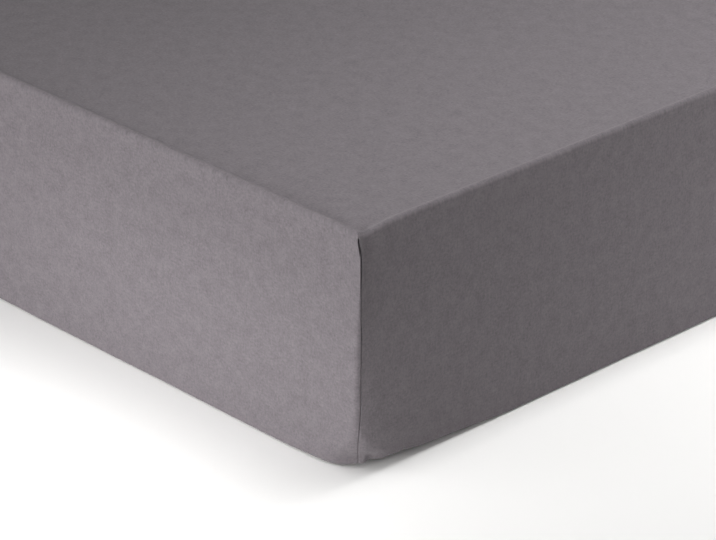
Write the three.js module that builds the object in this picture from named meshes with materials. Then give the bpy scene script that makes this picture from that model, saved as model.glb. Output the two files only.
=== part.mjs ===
// A fitted bed sheet pulled over a single mattress that lies on a flat surface.
// Millimetres, +Z up, X across the mattress, Y along it, origin under the middle of the base.
//
// The sheet is one piece of brushed cloth. A square is cut out at each corner of the flat cloth and the two
// cut edges are sewn together, so that four skirts hang from the top panel. An elastic in the hem draws the
// skirts in under the mattress and pulls the foot of each corner round. The mattress fills the sheet.
import * as THREE from "three";

// The mattress, and the cloth on it.
const MATTRESS_WIDTH = 900;
const MATTRESS_LENGTH = 2000;
const RIM_HEIGHT = 250.5;
const CLOTH = 1.5;
const LAYER = CLOTH + 0.3;
const HALF_WIDTH = MATTRESS_WIDTH / 2 + LAYER;
const HALF_LENGTH = MATTRESS_LENGTH / 2 + LAYER;

// The section of an edge. The piping of the mattress makes a soft ridge round the top panel and another
// round the foot of the skirts; inside the ridge the top swells to a flat middle.
const TOP_EDGE_IN = 3.8;
const TOP_EDGE_DOWN = 4.5;
const RIDGE_PEAK = 3;
const RIDGE_FOOT = 7;
const RIDGE_RISE = 1;
const CROWN = 2;
const SIDE_BOW = 1.2;
const FOOT_RADIUS = 3.5;
const FOOT_ROLL = 0.8;
const FOOT_ROLL_RUN = 9;

// The corners, seen from above: nearly sharp under the top panel, soft down the side, wide at the foot.
const TOP_CORNER_RADIUS = 2.2;
const SIDE_CORNER_RADIUS = 6.6;
const SIDE_CORNER_DROP = 130;
const FOOT_CORNER_RADIUS = 52;
const FOOT_CORNER_RISE = 29;

// How far the pull of a corner is felt: along the edge, up from the floor, and in under the mattress. The
// sag of the top edge starts just before the seam, is deepest just past it, and dies away along the edge and
// below it.
const DRAW_IN_RUN = 70;
const DRAW_IN_RISE = 34;
const LIFT_RISE = 16;
const LIFT_INWARD = 62;
const SAG_START = -6;
const SAG_FULL = 8;
const SAG_RUN = 45;
const SAG_DEPTH = 30;

// How far the foot of the cloth is held off the floor near a corner, before and after its seam, by the
// distance from the seam.
const LIFTS = [
  { distance: 0, before: 4.2, after: 4.2 },
  { distance: 7, before: 2.9, after: 2.4 },
  { distance: 12, before: 1.8, after: 7.6 },
  { distance: 25, before: 1.4, after: 7.9 },
  { distance: 45, before: 1.8, after: 9.8 },
  { distance: 62, before: 1.2, after: 7.2 },
  { distance: 90, before: 0.4, after: 4.9 },
  { distance: 130, before: 0, after: 3.8 },
  { distance: 200, before: 0, after: 0 },
];

// The seam of each corner stands past the middle of the corner, because one panel laps over the other. It
// leaves the middle just under the top edge and comes back to it above the floor. The lap stands proud
// along a lip, and the panel under it is sunk into a groove.
const SEAM_SHIFT = 3.2;
const SEAM_SHIFT_TOP = RIM_HEIGHT - 18;
const SEAM_SHIFT_LOW = 76;
const SEAM_SHIFT_END = 14;
const GROOVE_DEPTH = 0.9;
const GROOVE_HALF = 1;
const GROOVE_RUN = 4;
const LIP_RISE = 0.6;
const LIP_WIDTH = 4;
const LIP_RUN = 14;

// The part of each skirt that is turned in under the mattress, and the thicker hem at its end. The base of
// the mattress is clear of the hem all round, then steps down to the floor.
const TURN_IN = 92;
const HEM_WIDTH = 15;
const HEM_EXTRA = 1.5;
const HEM_TAPER = 3;
const HEM_CORNER_RADIUS = 115;
const HEM_CLEARANCE = 3;
const BASE_STEP = 5;

// Each corner is pulled a little differently. drawIn is how far the elastic pulls its foot in, slack is how
// much of the lifts it takes, sag is how far the top edge sinks after the seam. at gives the signs of the
// corner's x and y. Each stands at the end of the side with the same place in the list of sides.
const CORNERS = [
  { at: [1, -1], drawIn: 2.0, slack: 1.0, sag: 3.6 },
  { at: [1, 1], drawIn: 3.2, slack: 0.7, sag: 2.4 },
  { at: [-1, 1], drawIn: 1.6, slack: 0.85, sag: 3.0 },
  { at: [-1, -1], drawIn: 3.8, slack: 0.6, sag: 2.0 },
];

// The four sides in the order in which the rows run: front, right, back, left. run is the way along the
// side, face the way it looks, half its half length and depth its distance from the middle.
const SIDES = [
  { run: [1, 0], face: [0, -1], half: HALF_WIDTH, depth: HALF_LENGTH },
  { run: [0, 1], face: [1, 0], half: HALF_LENGTH, depth: HALF_WIDTH },
  { run: [-1, 0], face: [0, 1], half: HALF_WIDTH, depth: HALF_LENGTH },
  { run: [0, -1], face: [-1, 0], half: HALF_LENGTH, depth: HALF_WIDTH },
];

// Distances over the cloth from a corner seam, close together where the cloth curves. From FAIR on, the
// lines of the net run straight down the sides.
const FAIR = 200;
const NEAR_SEAM = [0, 2, 7, 12, 25, 45, 62, 90, 130, FAIR];
const ACROSS = [...NEAR_SEAM, MATTRESS_WIDTH / 2];
const ALONG = [...NEAR_SEAM, 500, MATTRESS_LENGTH / 2];

// Where the rows of the skirts lie: the way the cloth looks on the curves, in degrees up from outwards,
// the height up the side, and the distance in under the mattress.
const TOP_EDGE_SLOPES = [20, 0];
const SIDE_HEIGHTS = [225, 190, 120, 64, 42, 27, 15];
const FOOT_SLOPES = [0, -45, -90];
const UNDER_INSETS = [34, TURN_IN - HEM_WIDTH - HEM_TAPER];

const { degToRad: radians, lerp: mix, smoothstep } = THREE.MathUtils;
const bell = (distance, run) => Math.exp(-((distance / run) ** 2));

// A row is one loop round the skirts. out and up place it in the section of a side, slope is the way the
// cloth looks there (0 outwards, -90 down), corner its radius seen from above, lift how much of a corner's
// lift it takes, and thick what a hem adds to the cloth.
function row(out, up, slope, corner, lift, thick = 0) {
  return { out, up, slope: radians(slope), corner, lift, thick };
}

function sideOut(up) {
  return SIDE_BOW * Math.sin((Math.PI * up) / RIM_HEIGHT) + FOOT_ROLL * bell(up - FOOT_RADIUS, FOOT_ROLL_RUN);
}

function cornerRadius(up) {
  const side = mix(TOP_CORNER_RADIUS, SIDE_CORNER_RADIUS, smoothstep(RIM_HEIGHT - up, 0, SIDE_CORNER_DROP));
  return mix(side, FOOT_CORNER_RADIUS, bell(up, FOOT_CORNER_RISE));
}

function topEdgeRow(slope) {
  const out = TOP_EDGE_IN * (Math.cos(radians(slope)) - 1);
  const up = RIM_HEIGHT + TOP_EDGE_DOWN * (Math.sin(radians(slope)) - 1);
  return row(out + sideOut(up), up, slope, cornerRadius(up), 0);
}

function sideRow(up) {
  return row(sideOut(up), up, 0, cornerRadius(up), bell(up, LIFT_RISE));
}

function footRow(slope) {
  const out = FOOT_RADIUS * (Math.cos(radians(slope)) - 1);
  const up = FOOT_RADIUS * (Math.sin(radians(slope)) + 1);
  return row(sideOut(FOOT_RADIUS) + out, up, slope, cornerRadius(up), bell(up, LIFT_RISE));
}

function underRow(inset, thick = 0) {
  const corner = mix(FOOT_CORNER_RADIUS, HEM_CORNER_RADIUS, (inset - FOOT_RADIUS) / (TURN_IN - FOOT_RADIUS));
  const lift = 1 - smoothstep(inset - FOOT_RADIUS, 0, LIFT_INWARD);
  return row(-inset, 0, -90, corner, lift, thick);
}

// From the top edge down the side, round the foot and in under the mattress to the start of the hem.
const SKIRT = [
  ...TOP_EDGE_SLOPES.map(topEdgeRow),
  ...SIDE_HEIGHTS.map(sideRow),
  ...FOOT_SLOPES.map(footRow),
  ...UNDER_INSETS.map((inset) => underRow(inset)),
  underRow(TURN_IN - HEM_WIDTH, HEM_EXTRA),
];
const SHEET_ROWS = [...SKIRT, underRow(TURN_IN, HEM_EXTRA)];
const MATTRESS_ROWS = [
  ...SKIRT,
  underRow(TURN_IN + HEM_CLEARANCE, HEM_EXTRA),
  underRow(TURN_IN + HEM_CLEARANCE + BASE_STEP, -LAYER),
];

// How far the cloth sinks near a corner. past is the distance past the seam (before it, less than 0), and
// below the distance in from the top edge, over the top panel or down the side.
function sinking(past, below, sag) {
  const along = smoothstep(past, SAG_START, SAG_FULL) * (1 - smoothstep(past, 0, SAG_RUN));
  return sag * along * (1 - smoothstep(below, 0, SAG_DEPTH));
}

// How far a corner holds the foot of the cloth off the floor, at a distance before or after its seam.
function held(distance, when) {
  const next = Math.max(1, LIFTS.findIndex((lift) => lift.distance >= distance));
  const [from, to] = [LIFTS[next - 1], LIFTS[next]];
  const share = (distance - from.distance) / (to.distance - from.distance);
  return distance > FAIR ? 0 : mix(from[when], to[when], share);
}

// The section across a corner seam: the panel before it stands proud and laps over the sunken one after.
function seamRelief(past) {
  if (past >= 0) return -GROOVE_DEPTH * (1 - smoothstep(past, GROOVE_HALF, GROOVE_RUN));
  if (past > -GROOVE_HALF) return -GROOVE_DEPTH;
  return LIP_RISE * (1 - smoothstep(-past, LIP_WIDTH, LIP_RUN));
}

// The distance in from the outline, and how far the cloth is still turned over, near an edge of the top.
function edgeSection(distance) {
  const turned = (1 - Math.min(1, distance / RIDGE_PEAK)) * radians(45);
  const inset = TOP_EDGE_IN * (1 - Math.sin(turned)) + Math.max(0, distance - RIDGE_PEAK);
  return { inset, drop: TOP_EDGE_DOWN * (1 - Math.cos(turned)), turned };
}

// A point of the top panel, offset down from the outer face of the cloth. x and y are grid lines.
function topPoint(x, y, offset) {
  const across = edgeSection(x.distance);
  const along = edgeSection(y.distance);
  const nearest = Math.min(x.distance, y.distance);
  const ridge = RIDGE_RISE * smoothstep(nearest, RIDGE_PEAK, RIDGE_FOOT);
  const swell = (distance) => smoothstep(distance, RIDGE_FOOT, FAIR);
  const crown = CROWN * swell(x.distance) * swell(y.distance);
  const afterIsLong = x.sign !== y.sign;
  const corner = CORNERS.find(({ at }) => at[0] === x.sign && at[1] === y.sign);
  const past = afterIsLong ? y.distance - x.distance : x.distance - y.distance;
  const sunk = sinking(past, nearest, corner.sag);
  const level = offset * Math.cos(across.turned) * Math.cos(along.turned);
  return [
    x.sign * (HALF_WIDTH - across.inset - offset * Math.sin(across.turned)),
    y.sign * (HALF_LENGTH - along.inset - offset * Math.sin(along.turned)),
    RIM_HEIGHT - Math.hypot(across.drop, along.drop) - ridge + crown - sunk - level,
  ];
}

// A point of a loop with rounded corners. length runs along the side from the middle of the corner that the
// side starts from (sign -1) or ends at (sign 1); a length below 0 lies on the next side round.
function loopPoint(side, sign, inset, radius, length) {
  if (length < 0) return loopPoint((side + (sign < 0 ? 3 : 1)) % 4, -sign, inset, radius, -length);
  const { run, face, half, depth } = SIDES[side];
  const arc = (radius * Math.PI) / 4;
  const turned = Math.max(0, arc - length) / radius;
  const along = sign * (half - inset - radius + radius * Math.sin(turned) - Math.max(0, length - arc));
  const away = depth - inset - radius + radius * Math.cos(turned);
  return [along * run[0] + away * face[0], along * run[1] + away * face[1]];
}

// A point of the skirts, on one row and one line of one side, offset in from the outer face of the cloth.
function skirtPoint(band, side, line, offset) {
  const starts = line.sign < 0;
  const corner = CORNERS[starts ? (side + 3) % 4 : side];
  const past = starts ? line.distance : -line.distance;
  const pull = bell(line.distance, DRAW_IN_RUN) * bell(band.up, DRAW_IN_RISE);
  const lift = corner.slack * band.lift * held(line.distance, starts ? "after" : "before");
  const relief = offset > 0 ? 0 : seamRelief(past) * Math.cos(band.slope);
  const inwards = offset * Math.cos(band.slope);
  const deep = offset > 0 ? offset + band.thick : 0;

  const inset = corner.drawIn * pull - band.out + inwards - relief;
  const radius = Math.max(0.5, band.corner - inwards);
  const arc = (radius * Math.PI) / 4;
  const leaves = 1 - smoothstep(band.up, SEAM_SHIFT_TOP, RIM_HEIGHT);
  const shift = SEAM_SHIFT * leaves * smoothstep(band.up, SEAM_SHIFT_END, SEAM_SHIFT_LOW);
  const straight = (distance) => edgeSection(distance).inset - inset - radius + arc;
  const fanned = mix(starts ? shift : -shift, straight(FAIR), line.distance / FAIR);
  const length = line.distance > FAIR ? straight(line.distance) : fanned;
  const [x, y] = loopPoint(side, line.sign, inset, radius, length);
  const sunk = sinking(past, RIM_HEIGHT - band.up, corner.sag);
  return [x, y, band.up + lift - sunk - deep * Math.sin(band.slope)];
}

// The grid lines from one end of a side to the other; the middle line counts with the first half.
function lines(distances) {
  const low = distances.map((distance) => ({ sign: -1, distance }));
  const high = distances.slice(0, -1).reverse().map((distance) => ({ sign: 1, distance }));
  return [...low, ...high];
}

// One layer of the net: the grid of the top panel, then a loop of points for each row of the skirts.
// Its faces look outwards, and its last loop is left open.
function net(rows, offset) {
  const xs = lines(ACROSS);
  const ys = lines(ALONG);
  const at = (i, j) => j * xs.length + i;
  const points = ys.flatMap((y) => xs.map((x) => topPoint(x, y, offset)));
  const faces = [];
  for (let j = 0; j + 1 < ys.length; j += 1) {
    for (let i = 0; i + 1 < xs.length; i += 1) {
      faces.push([at(i, j), at(i + 1, j), at(i + 1, j + 1), at(i, j + 1)]);
    }
  }
  const lastX = xs.length - 1;
  const lastY = ys.length - 1;
  let loop = [
    ...xs.slice(0, -1).map((line, i) => at(i, 0)),
    ...ys.slice(0, -1).map((line, j) => at(lastX, j)),
    ...xs.slice(0, -1).map((line, i) => at(lastX - i, lastY)),
    ...ys.slice(0, -1).map((line, j) => at(0, lastY - j)),
  ];
  for (const band of rows) {
    const next = [];
    SIDES.forEach((side, number) => {
      for (const line of (number % 2 === 0 ? xs : ys).slice(0, -1)) {
        next.push(points.length);
        points.push(skirtPoint(band, number, line, offset));
      }
    });
    faces.push(...bridge(loop, next));
    loop = next;
  }
  return { points, faces, loop };
}

// The faces between an upper and a lower loop.
function bridge(upper, lower) {
  return upper.map((start, i) => {
    const j = (i + 1) % upper.length;
    return [start, lower[i], lower[j], upper[j]];
  });
}

function solid(name, points, faces, finish) {
  const triangles = faces.flatMap(([a, b, c, d]) => (d === undefined ? [[a, b, c]] : [[a, b, c], [a, c, d]]));
  const geometry = new THREE.BufferGeometry();
  geometry.setAttribute("position", new THREE.Float32BufferAttribute(points.flat(), 3));
  geometry.setIndex(triangles.flat());
  const mesh = new THREE.Mesh(geometry, new THREE.MeshStandardMaterial(finish));
  mesh.name = name;
  return mesh;
}

// The sheet: an outer and an inner layer, joined along the edge of the hem.
function fittedSheet() {
  const outer = net(SHEET_ROWS, 0);
  const inner = net(SHEET_ROWS, CLOTH);
  const moved = (indices) => indices.map((index) => index + outer.points.length);
  const faces = [
    ...outer.faces,
    ...inner.faces.map(([a, b, c, d]) => moved([a, d, c, b])),
    ...bridge(outer.loop, moved(inner.loop)),
  ];
  const finish = { color: 0x7b7579, roughness: 0.92, metalness: 0 };
  return solid("fitted_sheet", [...outer.points, ...inner.points], faces, finish);
}

// The mattress: the layer just inside the sheet, closed by the flat of its base.
function mattress() {
  const skin = net(MATTRESS_ROWS, LAYER);
  const outline = skin.loop.map((index) => new THREE.Vector2(...skin.points[index]));
  const base = THREE.ShapeUtils.triangulateShape(outline, []);
  const faces = [...skin.faces, ...base.map(([a, b, c]) => [skin.loop[a], skin.loop[c], skin.loop[b]])];
  return solid("mattress", skin.points, faces, { color: 0xe6e2da, roughness: 0.85, metalness: 0 });
}

const part = new THREE.Group();
part.name = "fitted_sheet_on_mattress";
part.add(fittedSheet(), mattress());

export default part;
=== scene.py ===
from math import pi, radians

import bpy
import numpy as np
from mathutils import Euler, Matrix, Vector


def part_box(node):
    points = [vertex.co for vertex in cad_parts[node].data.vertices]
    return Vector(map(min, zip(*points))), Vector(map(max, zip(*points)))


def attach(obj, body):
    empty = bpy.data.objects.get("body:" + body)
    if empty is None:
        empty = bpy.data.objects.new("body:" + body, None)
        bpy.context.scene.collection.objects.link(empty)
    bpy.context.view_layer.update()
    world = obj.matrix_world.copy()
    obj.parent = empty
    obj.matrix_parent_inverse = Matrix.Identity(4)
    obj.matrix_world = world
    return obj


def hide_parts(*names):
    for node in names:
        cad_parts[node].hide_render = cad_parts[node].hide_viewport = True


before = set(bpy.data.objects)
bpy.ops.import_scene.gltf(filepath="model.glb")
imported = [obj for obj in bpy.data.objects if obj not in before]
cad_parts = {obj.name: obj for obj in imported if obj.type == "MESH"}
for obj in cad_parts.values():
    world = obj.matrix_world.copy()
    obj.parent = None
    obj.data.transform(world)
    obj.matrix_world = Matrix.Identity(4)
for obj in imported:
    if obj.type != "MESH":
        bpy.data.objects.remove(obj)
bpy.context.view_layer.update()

# The camera stands before the front right corner of the bed and looks down on it through a long lens, so
# that the edges stay nearly parallel. The corner meant is where the planes of the straight sides meet.
CAMERA_AZIMUTH = radians(46.42)
CAMERA_ELEVATION = radians(25.61)
CAMERA_DISTANCE = 3.215
CAMERA_BELOW_CORNER = 0.0322
LENS = 183
SENSOR_WIDTH = 36
VIEW_END = 200
CORNER_BEFORE_BOX = Vector((-0.0015, 0.0015, -0.0014))

sheet_low, sheet_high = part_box("fitted_sheet")
bed_corner = Vector((sheet_high.x, sheet_low.y, sheet_high.z)) + CORNER_BEFORE_BOX
camera = bpy.data.objects.new("camera", bpy.data.cameras.new("camera"))
camera.data.lens = LENS
camera.data.sensor_width = SENSOR_WIDTH
camera.data.clip_end = VIEW_END
camera.rotation_euler = Euler((pi / 2 - CAMERA_ELEVATION, 0, CAMERA_AZIMUTH))
turn = camera.rotation_euler.to_matrix()
camera.location = bed_corner + turn @ Vector((0, -CAMERA_BELOW_CORNER, CAMERA_DISTANCE))
bpy.context.scene.collection.objects.link(camera)
bpy.context.scene.camera = camera


# The mattress is a block of foam in a plain woven cover, soft at its edges, with a flat base that lies on
# the surface. It is laid in first and fills the sheet. Only the middle of its base is ever seen.
HALF_WIDTH = 0.4518
HALF_LENGTH = 1.0018
RIM_HEIGHT = 0.2505
# The top edge is rounded inwards and down, and the top has a soft ridge just inside it and a slight crown.
TOP_EDGE_IN = 0.0038
TOP_EDGE_DOWN = 0.0045
RIDGE_PEAK = 0.003
RIDGE_FOOT = 0.007
RIDGE_RISE = 0.001
CROWN = 0.002
# The sides bow out, with a small roll above the rounded foot, and the cloth goes in under the mattress.
SIDE_BOW = 0.0012
FOOT_RADIUS = 0.0035
FOOT_ROLL = 0.0008
TURN_IN = 0.092
# Beyond this distance from a corner, the lines of the net keep their place.
FAIR = 0.200
SIDES = [
    {"run": (1, 0), "face": (0, -1), "half": HALF_WIDTH, "depth": HALF_LENGTH},
    {"run": (0, 1), "face": (1, 0), "half": HALF_LENGTH, "depth": HALF_WIDTH},
    {"run": (-1, 0), "face": (0, 1), "half": HALF_WIDTH, "depth": HALF_LENGTH},
    {"run": (0, -1), "face": (-1, 0), "half": HALF_LENGTH, "depth": HALF_WIDTH},
]
# Front right, back right, back left, front left: each corner is pulled a little differently.
CORNERS = {
    "sign_x": np.array([1, 1, -1, -1]),
    "sign_y": np.array([-1, 1, 1, -1]),
    "draw_in": np.array([0.0020, 0.0032, 0.0016, 0.0038]),
    "slack": np.array([1.00, 0.70, 0.85, 0.60]),
    "sag": np.array([0.0036, 0.0024, 0.0030, 0.0020]),
    "crease": np.array([0.0018, 0.0006, 0.0012, 0.0008]),
    "soft_turn": np.array([0.0026, 0.0016, 0.0022, 0.0018]),
    "flap": np.array([0.0035, 0.0020, 0.0030, 0.0024]),
}


def smoothstep(value, low, high):
    t = np.clip((value - low) / (high - low), 0, 1)
    return t * t * (3 - 2 * t)


def bell(distance, run):
    return np.exp(-((distance / run) ** 2))


def mix(a, b, t):
    return a + (b - a) * t


def hump(value, rises_from, rises_to, falls_from, falls_to):
    return smoothstep(value, rises_from, rises_to) * (1 - smoothstep(value, falls_from, falls_to))


def grid_lines(distances):
    """The signs and distances of the lines from one end of a side to the other."""
    distances = np.array(distances)
    signs = np.r_[-np.ones(len(distances)), np.ones(len(distances) - 1)]
    return signs, np.r_[distances, distances[-2::-1]]


# The upright corners are nearly sharp at the top, rounder down the side and wide at the foot and the hem.
SIDE_RADIUS_HIGH = 0.0022
SIDE_RADIUS_LOW = 0.0046
SIDE_RADIUS_DROPS = (0.005, 0.130)
FOOT_CORNER_RADIUS = 0.052
FOOT_CORNER_RISE = 0.029
HEM_CORNER_RADIUS = 0.115
FOOT_ROLL_RUN = 0.009
LIFT_RISE = 0.016
LIFT_INWARD = 0.72


def section_rows(top_slopes, heights, foot_slopes, insets):
    """The rows of the skirts, from the top edge down the side, round the foot and in underneath."""
    top = np.radians(top_slopes)
    foot = np.radians(foot_slopes)
    heights = np.array(heights)
    insets = np.array(insets)
    up = np.r_[
        RIM_HEIGHT + TOP_EDGE_DOWN * (np.sin(top) - 1),
        heights,
        FOOT_RADIUS * (np.sin(foot) + 1),
        0 * insets,
    ]
    bow = SIDE_BOW * np.sin(pi * up / RIM_HEIGHT) + FOOT_ROLL * bell(up - FOOT_RADIUS, FOOT_ROLL_RUN)
    out = np.r_[
        TOP_EDGE_IN * (np.cos(top) - 1),
        0 * heights,
        FOOT_RADIUS * (np.cos(foot) - 1),
        -insets,
    ]
    out += np.where(up > 0, bow, 0)
    side_radius = mix(SIDE_RADIUS_HIGH, SIDE_RADIUS_LOW, smoothstep(RIM_HEIGHT - up, *SIDE_RADIUS_DROPS))
    radius = mix(side_radius, FOOT_CORNER_RADIUS, bell(up, FOOT_CORNER_RISE))
    inward = np.r_[0 * top, 0 * heights, 0 * foot, (insets - FOOT_RADIUS) / (TURN_IN - FOOT_RADIUS)]
    radius = np.where(inward > 0, mix(FOOT_CORNER_RADIUS, HEM_CORNER_RADIUS, inward), radius)
    lift = bell(up, LIFT_RISE) * (1 - smoothstep(inward, 0, LIFT_INWARD))
    slope = np.r_[top, 0 * heights, foot, 0 * insets - pi / 2]
    return {
        "out": out[:, None],
        "up": up[:, None],
        "slope": slope[:, None],
        "radius": radius[:, None],
        "lift": lift[:, None],
    }


SAG_ALONG = (-0.006, 0.008)
SAG_RUN = 0.045
SAG_DEPTH = 0.030


def sinking(past, below, sag):
    """How far the cloth sinks near a corner, at a distance past the seam and below the top edge."""
    return sag * hump(past, *SAG_ALONG, 0, SAG_RUN) * (1 - smoothstep(below, 0, SAG_DEPTH))


CREASE_ALONG = (0.006, 0.020, 0.080, 0.210)
CREASE_INWARD = (0.002, 0.009, 0.010, 0.050)


def crease(past, inward, depth):
    """The soft trough just inside the top edge, on the side before a corner seam."""
    return depth * hump(-past, *CREASE_ALONG) * hump(inward, *CREASE_INWARD)


TOP_EDGE_TURN = radians(45)


def edge_section(distance):
    """Near an edge of the top: the distance in from the outline, the drop, and the turn of the cloth."""
    turned = (1 - np.minimum(1, distance / RIDGE_PEAK)) * TOP_EDGE_TURN
    inset = TOP_EDGE_IN * (1 - np.sin(turned)) + np.maximum(0, distance - RIDGE_PEAK)
    return inset, TOP_EDGE_DOWN * (1 - np.cos(turned)), turned


def top_points(x_lines, y_lines, stand):
    """The points of the top panel, stand metres outside the outer face of the solid sheet."""
    (sign_x, from_x), (sign_y, from_y) = x_lines, y_lines
    sign_x, from_x = sign_x[None, :], from_x[None, :]
    sign_y, from_y = sign_y[:, None], from_y[:, None]
    inset_x, drop_x, turned_x = edge_section(from_x)
    inset_y, drop_y, turned_y = edge_section(from_y)
    nearest = np.minimum(from_x, from_y)
    ridge = RIDGE_RISE * smoothstep(nearest, RIDGE_PEAK, RIDGE_FOOT)
    crown = CROWN * smoothstep(from_x, RIDGE_FOOT, FAIR) * smoothstep(from_y, RIDGE_FOOT, FAIR)
    past = np.where(sign_x != sign_y, from_y - from_x, from_x - from_y)
    quarters = [(sign_x == sx) * (sign_y == sy) for sx, sy in zip(CORNERS["sign_x"], CORNERS["sign_y"])]
    sag = sum(size * quarter for size, quarter in zip(CORNERS["sag"], quarters))
    dip = sum(size * quarter for size, quarter in zip(CORNERS["crease"], quarters))
    dip = crease(past, nearest, dip)
    x = sign_x * (HALF_WIDTH - inset_x + stand * np.sin(turned_x))
    y = sign_y * (HALF_LENGTH - inset_y + stand * np.sin(turned_y))
    z = RIM_HEIGHT - np.hypot(drop_x, drop_y) - ridge + crown - dip - sinking(past, nearest, sag)
    z = z + stand * np.cos(turned_x) * np.cos(turned_y)
    x, y, z = np.broadcast_arrays(x, y, z)
    return np.stack([x, y, z], axis=-1)


# How far a slack corner is held off the floor, in millimetres: the distance from the seam, then the lift on
# the side before it and on the side after it.
LIFTS = np.array(
    [
        (0, 4.5, 4.5),
        (2, 4.2, 4.4),
        (5, 3.4, 5.0),
        (8, 2.6, 7.0),
        (11, 1.8, 8.6),
        (17, 1.3, 7.9),
        (25, 1.0, 8.3),
        (45, 1.8, 10.2),
        (52, 1.5, 9.9),
        (62, 1.2, 7.2),
        (90, 0.4, 4.9),
        (130, 0.0, 3.8),
        (200, 0.0, 0.0),
    ]
)
DRAW_IN_RUN = 0.070
DRAW_IN_RISE = 0.034
# The flap at the top of a seam: where it opens, how far down it runs straight, and how wide it is.
FLAP_OPENS = (0.004, 0.028)
FLAP_STRAIGHT = (0.035, 0.110)
FLAP_WIDTH = 0.006
FLAP_COVERED = 0.95
SHARP_RADIUS = 0.0004
# How far past the corner the seam runs, at the foot and on the side, and between which heights it moves.
SEAM_PAST_FOOT = 0.0002
SEAM_PAST_SIDE = 0.0033
SEAM_PAST_TURN = 0.40
SEAM_HEIGHTS = (0.014, 0.084)
# The slow end of the turn at a corner: how far below the top it starts, and how soon it dies away.
SOFT_TURN_DROPS = (0.070, 0.190)
SOFT_TURN_RUN = 0.013
SOFT_TURN_FADE = (0.012, 0.060)


def skirt_points(rows, number, lines, stand):
    """The points of one skirt, row by row, stand metres outside the outer face of the solid sheet."""
    side = SIDES[number]
    sign, distance = lines[0][None, :], lines[1][None, :]
    starts = sign < 0
    corner = np.where(starts, (number + 3) % 4, number)
    past = np.where(starts, distance, -distance)
    lifts = [np.interp(distance * 1000, LIFTS[:, 0], LIFTS[:, column]) / 1000 for column in (1, 2)]
    held = CORNERS["slack"][corner] * np.where(starts, lifts[1], lifts[0])
    pull = CORNERS["draw_in"][corner] * bell(distance, DRAW_IN_RUN) * bell(rows["up"], DRAW_IN_RISE)
    below = RIM_HEIGHT - rows["up"]
    turn = CORNERS["soft_turn"][corner] * smoothstep(below, *SOFT_TURN_DROPS)
    lift = held * rows["lift"]
    sunk = sinking(past, below, CORNERS["sag"][corner])

    # Near the top the earlier panel runs straight on past the corner, as a flap; lower down it wraps round.
    straight = 1 - smoothstep(below, *FLAP_STRAIGHT)
    flap = CORNERS["flap"][corner] * straight * smoothstep(below, *FLAP_OPENS)
    inset = pull - rows["out"] - stand * np.cos(rows["slope"])
    radius = mix(rows["radius"], SHARP_RADIUS, straight)
    radius = np.maximum(SHARP_RADIUS, radius + stand * np.cos(rows["slope"]) * (stand < 0))
    arc = radius * pi / 4
    side_wrap = SEAM_PAST_SIDE + SEAM_PAST_TURN * turn
    wrap = mix(SEAM_PAST_FOOT, side_wrap, smoothstep(rows["up"], *SEAM_HEIGHTS))
    lapped = FLAP_COVERED * flap + SHARP_RADIUS
    shift = np.where(starts, mix(wrap, lapped, straight), wrap * (1 - straight))
    fair = edge_section(FAIR)[0] - inset - radius + arc
    fanned = mix(np.where(starts, shift, -shift), fair, distance / FAIR)
    length = np.where(distance > FAIR, edge_section(distance)[0] - inset - radius + arc, fanned)

    turned = np.clip((arc - length) / radius, 0, pi / 2)
    along = side["half"] - inset - radius + radius * np.sin(turned) - np.maximum(0, length - arc)
    away = side["depth"] - inset - radius + radius * np.cos(turned) - np.maximum(0, -length - arc)
    # Lower down, the side after the seam turns the last of the way slowly.
    round_by = np.where(starts, side["half"] - inset - along, side["depth"] - inset - away)
    turn = turn * np.exp(-round_by / SOFT_TURN_RUN)
    away = away - turn * starts
    along = along - np.where(starts, 0, turn * (1 - smoothstep(distance, *SOFT_TURN_FADE)))
    along = along + np.where(starts, 0, flap * (1 - smoothstep(distance, 0, FLAP_WIDTH)))
    along = along * sign
    x = along * side["run"][0] + away * side["face"][0]
    y = along * side["run"][1] + away * side["face"][1]
    z = rows["up"] + lift - sunk + stand * np.sin(rows["slope"])
    x, y, z = np.broadcast_arrays(x, y, z)
    return np.stack([x, y, z], axis=-1)


def net_faces(count_x, count_y, count_rows):
    """The quads of a net: the grid of the top panel, then a band of quads from each loop to the next."""
    grid = np.arange(count_x * count_y).reshape(count_y, count_x)
    top = np.stack([grid[:-1, :-1], grid[:-1, 1:], grid[1:, 1:], grid[1:, :-1]], axis=-1)
    loop = np.r_[grid[0, :-1], grid[:-1, -1], grid[-1, :0:-1], grid[:0:-1, 0]]
    loops = [loop] + [grid.size + row * len(loop) + np.arange(len(loop)) for row in range(count_rows)]
    bands = [
        np.stack([upper, lower, np.roll(lower, -1), np.roll(upper, -1)], axis=-1)
        for upper, lower in zip(loops, loops[1:])
    ]
    return np.concatenate([top.reshape(-1, 4), *bands]), loops[-1]


def mesh_object(name, points, faces):
    mesh = bpy.data.meshes.new(name)
    mesh.from_pydata(points.tolist(), [], [list(face) for face in faces])
    mesh.update()
    mesh.shade_smooth()
    obj = bpy.data.objects.new(name, mesh)
    bpy.context.scene.collection.objects.link(obj)
    return obj


MATTRESS_GAP = 0.004
near_seam = [0, 0.002, 0.005, 0.009, 0.014, 0.020, 0.030, 0.045, 0.070, 0.120, FAIR]
mattress_lines = [
    grid_lines([*near_seam, 0.300, HALF_WIDTH]),
    grid_lines([*near_seam, 0.400, 0.700, HALF_LENGTH]),
]
mattress_rows = section_rows(
    top_slopes=[30, 15, 0],
    heights=[0.230, 0.200, 0.150, 0.100, 0.065, 0.045, 0.030, 0.020, 0.012],
    foot_slopes=[0, -30, -60, -90],
    insets=[0.020, 0.050, 0.080, 0.096, 0.099, 0.103, 0.108, 0.125, 0.160, 0.220],
)
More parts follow.
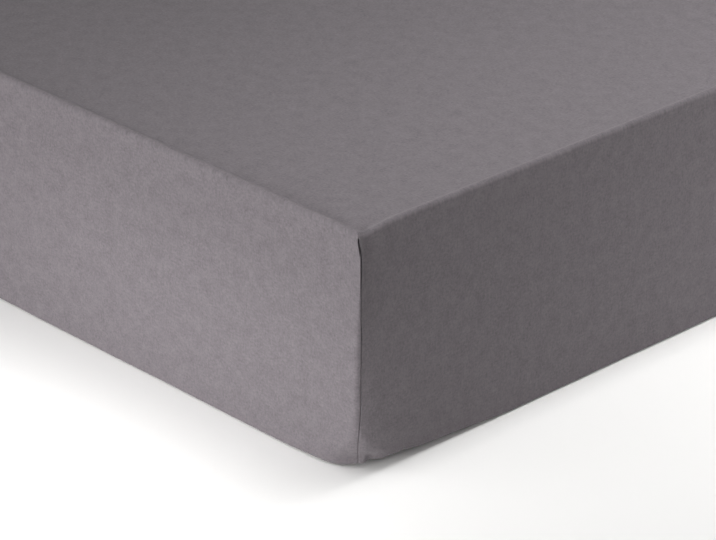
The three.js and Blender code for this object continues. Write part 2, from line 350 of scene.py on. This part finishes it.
# From inside the hem on, the base comes down to the surface in a soft step.
mattress_stand = np.full(mattress_rows["up"].shape, -MATTRESS_GAP)
mattress_stand[-8:, 0] = [-0.0055, -0.0052, -0.0038, -0.0018, -0.0008, -0.0004, -0.0003, -0.0003]
bands = [
    skirt_points(mattress_rows, number, mattress_lines[number % 2], mattress_stand)[:, :-1]
    for number in range(4)
]
loops = np.concatenate(bands, axis=1)
grid = top_points(*mattress_lines, -MATTRESS_GAP)
points = np.concatenate([grid.reshape(-1, 3), loops.reshape(-1, 3)])
faces, last_loop = net_faces(grid.shape[1], grid.shape[0], loops.shape[0])
mattress = mesh_object("mattress_block", points, [*faces.tolist(), last_loop[::-1].tolist()])


def new_material(name, roughness):
    """A material with a Principled shader, and that shader and its tree."""
    material = bpy.data.materials.new(name)
    material.use_nodes = True
    shader = material.node_tree.nodes["Principled BSDF"]
    shader.inputs["Roughness"].default_value = roughness
    return material, material.node_tree, shader


def node(tree, kind, links=(), **settings):
    """A node of a tree, with its settings, its socket values and the sockets that feed it."""
    made = tree.nodes.new(kind)
    for key, value in settings.items():
        if hasattr(made, key):
            setattr(made, key, value)
        else:
            made.inputs[key.replace("_", " ")].default_value = value
    for key, source in dict(links).items():
        tree.links.new(source, made.inputs[key])
    return made


def math_node(tree, operation, first, second):
    """The result of one step of arithmetic on two values, each a socket or a number."""
    made = tree.nodes.new("ShaderNodeMath")
    made.operation = operation
    for socket, value in zip(made.inputs, (first, second)):
        if isinstance(value, (int, float)):
            socket.default_value = value
        else:
            tree.links.new(value, socket)
    return made.outputs[0]


# Woven and knitted cloth has threads that differ a little in shade and thickness, which shows as short
# streaks along both thread directions, with a soft unevenness over them and a fine grain of fibre ends.
cloth_group = bpy.data.node_groups.new("cloth surface", "ShaderNodeTree")
face = cloth_group.interface
face.new_socket("Cloth", in_out="INPUT", socket_type="NodeSocketVector")
for name in ("Thread", "Streak Length"):
    face.new_socket(name, in_out="INPUT", socket_type="NodeSocketFloat")
for name in ("Streaks", "Grain", "Mottle", "Height"):
    face.new_socket(name, in_out="OUTPUT", socket_type="NodeSocketFloat")
group_in = cloth_group.nodes.new("NodeGroupInput")
group_out = cloth_group.nodes.new("NodeGroupOutput")


def streaks(tree, cloth, thread, length, along):
    """Noise drawn out along one thread direction, 0 for U or 1 for V."""
    parts = node(tree, "ShaderNodeSeparateXYZ", {"Vector": cloth})
    across = math_node(tree, "DIVIDE", parts.outputs[1 - along], thread)
    long_size = math_node(tree, "MULTIPLY", thread, length)
    lengthwise = math_node(tree, "DIVIDE", parts.outputs[along], long_size)
    place = node(tree, "ShaderNodeCombineXYZ", {"X": across, "Y": lengthwise, "Z": parts.outputs["Z"]})
    noise = node(
        tree,
        "ShaderNodeTexNoise",
        {"Vector": place.outputs[0]},
        Scale=1.0,
        Detail=2.0,
        Roughness=0.6,
    )
    return noise.outputs["Fac"]


cloth = group_in.outputs["Cloth"]
thread = group_in.outputs["Thread"]
streak_length = group_in.outputs["Streak Length"]
warp = streaks(cloth_group, cloth, thread, streak_length, 1)
weft = streaks(cloth_group, cloth, thread, streak_length, 0)
both = math_node(cloth_group, "MULTIPLY", math_node(cloth_group, "ADD", warp, weft), 0.5)
fuzz = node(cloth_group, "ShaderNodeTexNoise", {"Vector": cloth}, Scale=900.0, Detail=3.0, Roughness=0.6)
grain = node(cloth_group, "ShaderNodeTexNoise", {"Vector": cloth}, Scale=400.0, Detail=2.0, Roughness=0.6)
mottle = node(cloth_group, "ShaderNodeTexNoise", {"Vector": cloth}, Scale=70.0, Detail=4.0, Roughness=0.6)
FUZZ_HEIGHT = 0.6
fuzz_height = math_node(cloth_group, "MULTIPLY", fuzz.outputs["Fac"], FUZZ_HEIGHT)
height = math_node(cloth_group, "ADD", both, fuzz_height)
cloth_group.links.new(both, group_out.inputs["Streaks"])
cloth_group.links.new(grain.outputs["Fac"], group_out.inputs["Grain"])
cloth_group.links.new(mottle.outputs["Fac"], group_out.inputs["Mottle"])
cloth_group.links.new(height, group_out.inputs["Height"])


def cloth_surface(tree, uv_name, thread_size, streak_size):
    """The cloth surface group, laid on a piece's own cloth coordinates."""
    place = node(tree, "ShaderNodeUVMap", uv_map=uv_name)
    made = tree.nodes.new("ShaderNodeGroup")
    made.node_tree = cloth_group
    made.inputs["Thread"].default_value = thread_size
    made.inputs["Streak Length"].default_value = streak_size
    tree.links.new(place.outputs["UV"], made.inputs["Cloth"])
    return made


def shade_ramp(tree, value, stops):
    """A colour ramp fed by a value, from a list of places and colours."""
    ramp = tree.nodes.new("ShaderNodeValToRGB")
    tree.links.new(value, ramp.inputs["Fac"])
    for element, (place, colour) in zip(ramp.color_ramp.elements, stops):
        element.position = place
        element.color = (*colour, 1)
    return ramp.outputs["Color"]


def bump(tree, height, distance):
    made = node(tree, "ShaderNodeBump", {"Height": height}, Strength=1.0, Distance=distance)
    return made.outputs["Normal"]


def lay_flat(obj, name, places):
    """Stores the flat place of each point of a piece, in metres, as a UV map."""
    layer = obj.data.uv_layers.new(name=name)
    corners = np.empty(len(obj.data.loops), dtype=np.int32)
    obj.data.loops.foreach_get("vertex_index", corners)
    layer.data.foreach_set("uv", places[corners].astype(np.float32).ravel())


ticking, tree, shader = new_material("mattress cover", roughness=0.85)
surface = cloth_surface(tree, "cover", thread_size=0.0016, streak_size=6.0)
shades = [(0.3, (0.66, 0.63, 0.58)), (0.7, (0.8, 0.77, 0.72))]
colour = shade_ramp(tree, surface.outputs["Streaks"], shades)
tree.links.new(colour, shader.inputs["Base Color"])
tree.links.new(bump(tree, surface.outputs["Height"], distance=0.0006), shader.inputs["Normal"])
mattress.data.materials.append(ticking)
lay_flat(mattress, "cover", points[:, :2])
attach(mattress, "root")
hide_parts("mattress")


# The fitted sheet is one piece of brushed cloth: a top panel with four skirts, sewn to each other down the
# corners, each panel lapped over the next. The elastic in its hem draws it in under the mattress.
CLOTH = 0.001
HEM_WIDTH = 0.015
HEM_START = TURN_IN - HEM_WIDTH
near_seam_mm = [0, 0.2, 0.45, 0.7, 1, 1.4, 1.9, 2.5, 3.2, 4, 5, 6.2, 7.6, 9.2, 11, 13.5]
near_seam_mm += [17, 21, 26, 32, 39, 48, 58, 70, 84, 100, 118, 140, 168, 200]
near_seam = [value / 1000 for value in near_seam_mm]
across = [*near_seam, *np.linspace(FAIR, HALF_WIDTH, 11)[1:]]
along = [*near_seam, *np.linspace(FAIR, HALF_LENGTH, 31)[1:]]
sheet_lines = [grid_lines(across), grid_lines(along)]
heights = np.r_[
    np.linspace(0.2425, 0.224, 9),
    np.linspace(0.220, 0.060, 33),
    np.linspace(0.056, 0.0065, 16),
]
sheet_rows = section_rows(
    top_slopes=[39, 33, 27, 21, 15, 9, 3],
    heights=heights,
    foot_slopes=[0, -15, -30, -45, -60, -75, -90],
    insets=[
        *np.linspace(0.009, HEM_START - 0.002, 8),
        HEM_START,
        HEM_START + 0.002,
        *np.linspace(HEM_START + 0.005, TURN_IN, 4),
    ],
)

# The section across a corner seam, in millimetres past the seam and outwards: the lap of one panel, the
# groove where it is sewn, and the two small ridges that the turned-in edges raise under the other panel.
SEAM_SECTION = np.array(
    [
        (-14.0, 0.00),
        (-9.0, 0.15),
        (-4.0, 0.45),
        (-1.2, 0.50),
        (-0.4, 0.42),
        (-0.1, -0.30),
        (0.0, -1.20),
        (0.25, -0.90),
        (0.6, 0.20),
        (0.9, 0.45),
        (1.5, 0.48),
        (2.1, 0.25),
        (3.2, 0.05),
        (5.0, 0.00),
        (8.0, 0.00),
    ]
)


SEAM_BEGINS = (0.0045, 0.0065)
# Just under the top edge the seam gapes on the later panel, by this share of its width.
GAPE = 0.8
GAPE_DROP = 0.009
GAPE_RISE = 0.005
# The seam is about half as deep at the foot as on the side, and twice as deep near the top.
DEPTH_AT_FOOT = 0.5
DEPTH_ON_SIDE = 0.9
DEPTH_ADDED_AT_TOP = 0.9
# The stitches pucker the cloth every centimetre or so, a little unevenly.
PUCKER = 0.00010
PUCKER_PITCH = 0.0093
PUCKER_RUN = 0.008


def seam_relief(past, up):
    """How far the cloth stands out or in near a corner seam."""
    under = RIM_HEIGHT - up
    opened = 1 + GAPE * bell(under - GAPE_DROP, GAPE_RISE) * (past >= 0)
    section = np.interp(past * 1000 / opened, SEAM_SECTION[:, 0], SEAM_SECTION[:, 1]) / 1000
    depth = mix(DEPTH_AT_FOOT, DEPTH_ON_SIDE, smoothstep(up, 0.050, 0.170))
    depth = depth + DEPTH_ADDED_AT_TOP * smoothstep(up, 0.220, 0.240)
    puckers = PUCKER * np.sin(up * 2 * pi / PUCKER_PITCH + 3 * np.sin(up * 41)) * bell(past, PUCKER_RUN)
    return smoothstep(under, *SEAM_BEGINS) * (section * opened * depth + puckers)


GATHER_HEIGHT = 0.006
GATHER_RISE = 0.008
GATHER_PITCH = 0.021


def foot_relief(past, up):
    """The small gathers that the elastic raises just above the foot of a corner."""
    lobe = 0.0010 * bell(past - 0.0060, 0.0035) - 0.0003 * bell(past - 0.0125, 0.003)
    waves = 0.0006 * np.sin(past * 2 * pi / GATHER_PITCH + 0.8) * bell(past - 0.035, 0.030)
    return bell(up - GATHER_HEIGHT, GATHER_RISE) * (lobe + waves)


SWELL = 0.0040
SWELL_RUN = 0.016
SWELL_FADE = (0.060, 0.200)
SWELL_HEIGHT = 0.058
SWELL_RISE = 0.050
SWELL_CLEAR_OF_FOOT = 0.035


def swell(past, up):
    """The panel after a seam stands out more and more over its first centimetres, low on the side."""
    along = (1 - np.exp(-np.maximum(0, past) / SWELL_RUN)) * (1 - smoothstep(past, *SWELL_FADE))
    return SWELL * along * bell(up - SWELL_HEIGHT, SWELL_RISE) * smoothstep(up, 0, SWELL_CLEAR_OF_FOOT)


# Each wave: its size in metres, its turns in radians a metre along and up, and where it starts.
WAVES = [(0.00022, 23, 9, 0), (0.00016, 51, -21, 1.3), (0.00010, 9, 47, 2.1)]
WAVES_BEGIN = (0.004, 0.04)


def unevenness(place, up):
    """The slow, slight waves of cloth pulled over foam; place is the length along the foot."""
    return sum(size * np.sin(place * along + up * rise + start) for size, along, rise, start in WAVES)


# The sides start at different places in the waves, so that no two are alike.
SIDE_OFFSET = 1.7
loops = []
flat_loops = []
for number in range(4):
    sign, distance = sheet_lines[number % 2]
    half = SIDES[number]["half"]
    past = np.where(sign < 0, distance, -distance)[None, :]
    place = (sign * (half - distance) + number * SIDE_OFFSET)[None, :]
    up = sheet_rows["up"]
    upright = np.cos(sheet_rows["slope"])
    relief = seam_relief(past, up) + foot_relief(past, up) + swell(past, up)
    relief = relief + unevenness(place, up) * smoothstep(RIM_HEIGHT - up, *WAVES_BEGIN)
    band = skirt_points(sheet_rows, number, sheet_lines[number % 2], relief * upright)
    loops.append(band[:, :-1])
    run = np.array(SIDES[number]["run"])
    out = np.array(SIDES[number]["face"])
    depth = SIDES[number]["depth"]
    down = np.maximum(0, RIM_HEIGHT - up - TOP_EDGE_DOWN) + np.where(up > 0, 0, -sheet_rows["out"])
    flat = (sign * (half - distance))[None, :, None] * run + (depth + down)[:, :, None] * out
    flat_loops.append(flat[:, :-1])
loops = np.concatenate(loops, axis=1)
flat_loops = np.concatenate(flat_loops, axis=1)
grid = top_points(*sheet_lines, 0.0)
flat_grid = grid[:, :, :2]
points = np.concatenate([grid.reshape(-1, 3), loops.reshape(-1, 3)])
flat_places = np.concatenate([flat_grid.reshape(-1, 2), flat_loops.reshape(-1, 2)])
faces, last_loop = net_faces(grid.shape[1], grid.shape[0], loops.shape[0])
sheet = mesh_object("sheet_cloth", points, faces.tolist())
lay_flat(sheet, "cloth", flat_places)
thickness = sheet.modifiers.new("thickness", "SOLIDIFY")
thickness.thickness = CLOTH
thickness.offset = -1
thickness.use_even_offset = True

brushed, tree, shader = new_material("brushed cotton", roughness=0.95)
surface = cloth_surface(tree, "cloth", thread_size=0.0018, streak_size=3.0)
shades = [(0.30, (0.097, 0.0860, 0.094)), (0.70, (0.201, 0.1800, 0.194))]
weights = {"Streaks": 0.40, "Grain": 0.34, "Mottle": 0.26}
shares = [math_node(tree, "MULTIPLY", surface.outputs[name], weight) for name, weight in weights.items()]
melange = math_node(tree, "ADD", math_node(tree, "ADD", shares[0], shares[1]), shares[2])
colour = shade_ramp(tree, melange, shades)
tree.links.new(colour, shader.inputs["Base Color"])
tree.links.new(bump(tree, surface.outputs["Height"], distance=0.0004), shader.inputs["Normal"])
shader.inputs["Sheen Weight"].default_value = 0.12
shader.inputs["Sheen Roughness"].default_value = 0.5
shader.inputs["Specular IOR Level"].default_value = 0.2
sheet.data.materials.append(brushed)
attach(sheet, "root")
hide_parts("fitted_sheet")


# The floor is a wide sheet of white paper, and the light is that of a studio: a soft strip overhead, two
# soft boxes before the foot end, three low ones that whiten the paper, and one behind to fill the back.
FLOOR_SIZE = 90
floor = mesh_object(
    "floor",
    np.array([(-1, -1, 0), (1, -1, 0), (1, 1, 0), (-1, 1, 0)]) * FLOOR_SIZE / 2,
    [[0, 1, 2, 3]],
)
paper, tree, shader = new_material("white paper", roughness=0.9)
shader.inputs["Base Color"].default_value = (0.90, 0.895, 0.885, 1)
shader.inputs["Specular IOR Level"].default_value = 0.1
floor.data.materials.append(paper)

LAMPS = [
    {
        "name": "overhead",
        "at": (0.5, -0.1, 1.0),
        "aim": (0.5, -0.1, 0),
        "size": (0.3, 2.6),
        "power": 13.3,
    },
    {
        "name": "key",
        "at": (0.5, -7.4, 1.8),
        "aim": (0.4, -1, 0.1),
        "size": (1.0, 1.0),
        "power": 139,
    },
    {
        "name": "low_key",
        "at": (1.0, -5.0, 0.6),
        "aim": (0.4, -1, 0.1),
        "size": (1.0, 0.5),
        "power": 74,
    },
    {
        "name": "front_wash",
        "at": (-0.5, -1.9, 0.9),
        "aim": (-0.5, -1.8, 0),
        "size": (1.5, 0.5),
        "power": 4.2,
    },
    {
        "name": "corner_wash",
        "at": (0.2, -1.3, 0.2),
        "aim": (0.2, -1.3, 0),
        "size": (0.6, 0.06),
        "power": 1.27,
    },
    {
        "name": "side_wash",
        "at": (1.0, 0.3, 0.4),
        "aim": (1.0, 0.3, 0),
        "size": (0.12, 1.2),
        "power": 7.5,
    },
    {
        "name": "back_fill",
        "at": (-3.2, 2.6, 2.0),
        "aim": (0, 0.5, 0.1),
        "size": (2.4, 2.0),
        "power": 24,
    },
]
for lamp in LAMPS:
    light = bpy.data.objects.new(lamp["name"], bpy.data.lights.new(lamp["name"], "AREA"))
    light.data.shape = "RECTANGLE"
    light.data.size, light.data.size_y = lamp["size"]
    light.data.energy = lamp["power"]
    light.location = lamp["at"]
    light.visible_camera = False
    light.rotation_euler = (Vector(lamp["aim"]) - light.location).to_track_quat("-Z", "Y").to_euler()
    bpy.context.scene.collection.objects.link(light)

ROOM_LIGHT = 0.15
world = bpy.data.worlds.new("studio")
world.use_nodes = True
background = world.node_tree.nodes["Background"]
background.inputs["Color"].default_value = (1.0, 0.995, 0.985, 1)
background.inputs["Strength"].default_value = ROOM_LIGHT
bpy.context.scene.world = world
bpy.context.scene.view_settings.view_transform = "Standard"
